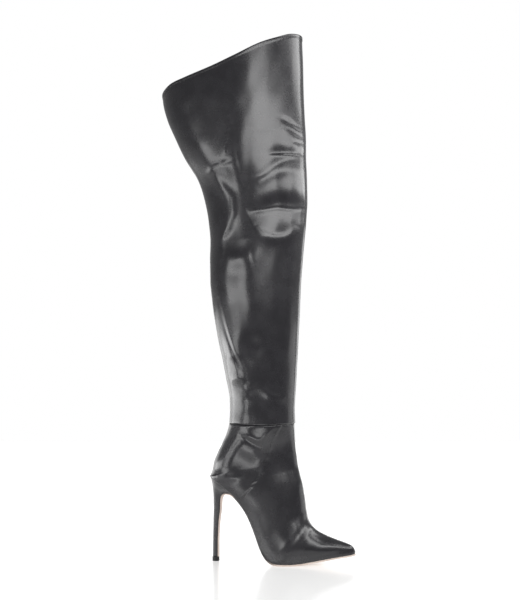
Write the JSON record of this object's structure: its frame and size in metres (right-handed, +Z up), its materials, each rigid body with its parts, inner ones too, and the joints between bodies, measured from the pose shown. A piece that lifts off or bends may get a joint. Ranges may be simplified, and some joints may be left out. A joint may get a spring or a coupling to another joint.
{
  "type": "thigh-high boot",
  "caption": "Thigh-high boot with a pointed toe, a slanted topline, a tall thin covered heel and a thin leather sole.",
  "frame": {"origin": "middle of the heel tip's floor face", "axes": "+X from heel to toe, +Y to the wearer's left, which is the inner side of this right boot, +Z up"},
  "size_m": [0.2757, 0.1292, 0.7385],
  "materials": {
    "black_leather": "smooth, half gloss",
    "sole_leather": "smooth, satin",
    "insole_leather": "matt",
    "tip_rubber": "matt"
  },
  "bodies": {
    "root": {"shaft": "black_leather", "upper": "black_leather", "heel": "black_leather", "outsole": "sole_leather", "insole": "insole_leather", "heel_tip": "tip_rubber"}
  },
  "joints": []
}
